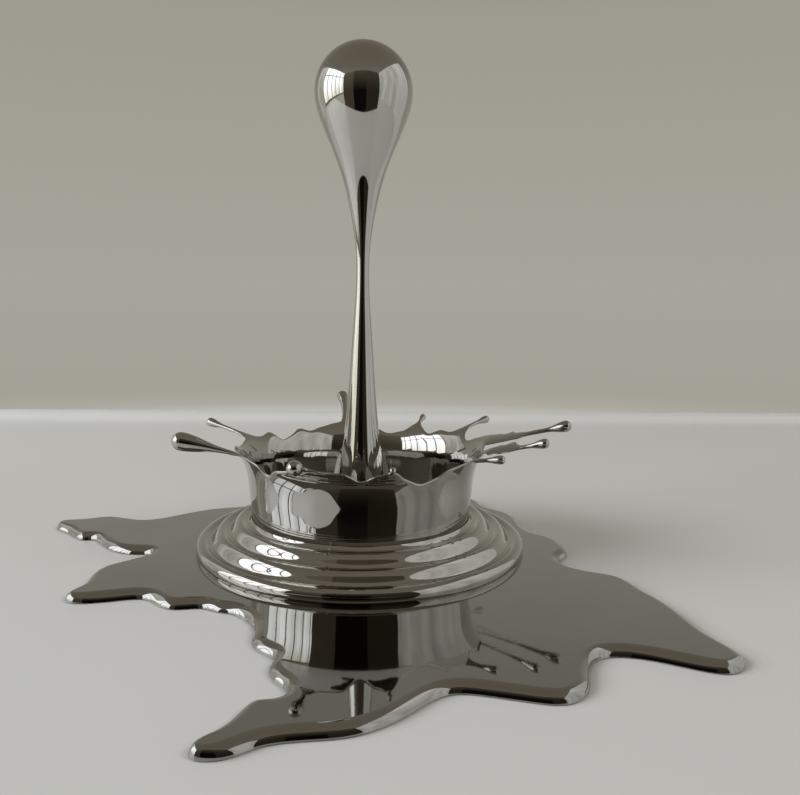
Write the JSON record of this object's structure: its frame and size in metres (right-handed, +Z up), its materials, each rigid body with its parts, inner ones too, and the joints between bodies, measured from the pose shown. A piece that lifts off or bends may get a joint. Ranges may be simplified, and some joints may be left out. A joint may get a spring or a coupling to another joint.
{
  "type": "magnetic desk sculpture",
  "caption": "Mirror-polished splash sculpture: flat puddle, rippled ring, tendrilled crown and teardrop jet, held together by hidden magnets.",
  "frame": {"origin": "on the desk, on the jet's axis, at the lower face of the centre pad", "axes": "+Z up along the jet, +X along the puddle's long way, the pictured side towards -Y"},
  "size_m": [0.3326, 0.313, 0.2716],
  "materials": {
    "puddle": "mirror-polished plating",
    "ripple_ring": "mirror-polished plating",
    "crown": "mirror-polished plating",
    "jet": "mirror-polished plating",
    "target_steel": "turned and nickel-plated steel",
    "screw_steel": "zinc-plated steel",
    "magnet": "nickel-plated sintered magnet",
    "pad": "matt black non-slip rubber"
  },
  "bodies": {
    "base": {"puddle": "puddle", "target_disc": "target_steel", "target_screws": "screw_steel", "foot_pad_1": "pad", "foot_pad_2": "pad", "foot_pad_3": "pad", "foot_pad_4": "pad", "foot_pad_5": "pad", "foot_pad_6": "pad", "foot_pad_7": "pad", "foot_pad_centre": "pad"},
    "ring": {"ripple_ring": "ripple_ring", "seat_plate": "target_steel", "seat_screws": "screw_steel", "ring_magnet_1": "magnet", "ring_magnet_2": "magnet", "ring_magnet_3": "magnet", "ring_magnet_4": "magnet", "ring_magnet_5": "magnet", "ring_magnet_6": "magnet"},
    "crown_body": {"crown": "crown", "crown_magnet_1": "magnet", "crown_magnet_2": "magnet", "crown_magnet_3": "magnet", "crown_magnet_4": "magnet", "crown_magnet_5": "magnet", "crown_magnet_6": "magnet"},
    "jet_body": {"jet": "jet", "jet_pot": "target_steel", "jet_magnet": "magnet", "jet_screw": "screw_steel"}
  },
  "joints": [
    {"name": "ring_lift", "type": "slide", "parent": "base", "child": "ring", "axis": [0, 0, 1], "range_m": [0, 0.06]},
    {"name": "crown_lift", "type": "slide", "parent": "ring", "child": "crown_body", "axis": [0, 0, 1], "range_m": [0, 0.27]},
    {"name": "jet_lift", "type": "slide", "parent": "ring", "child": "jet_body", "axis": [0, 0, 1], "range_m": [0, 0.12]}
  ]
}
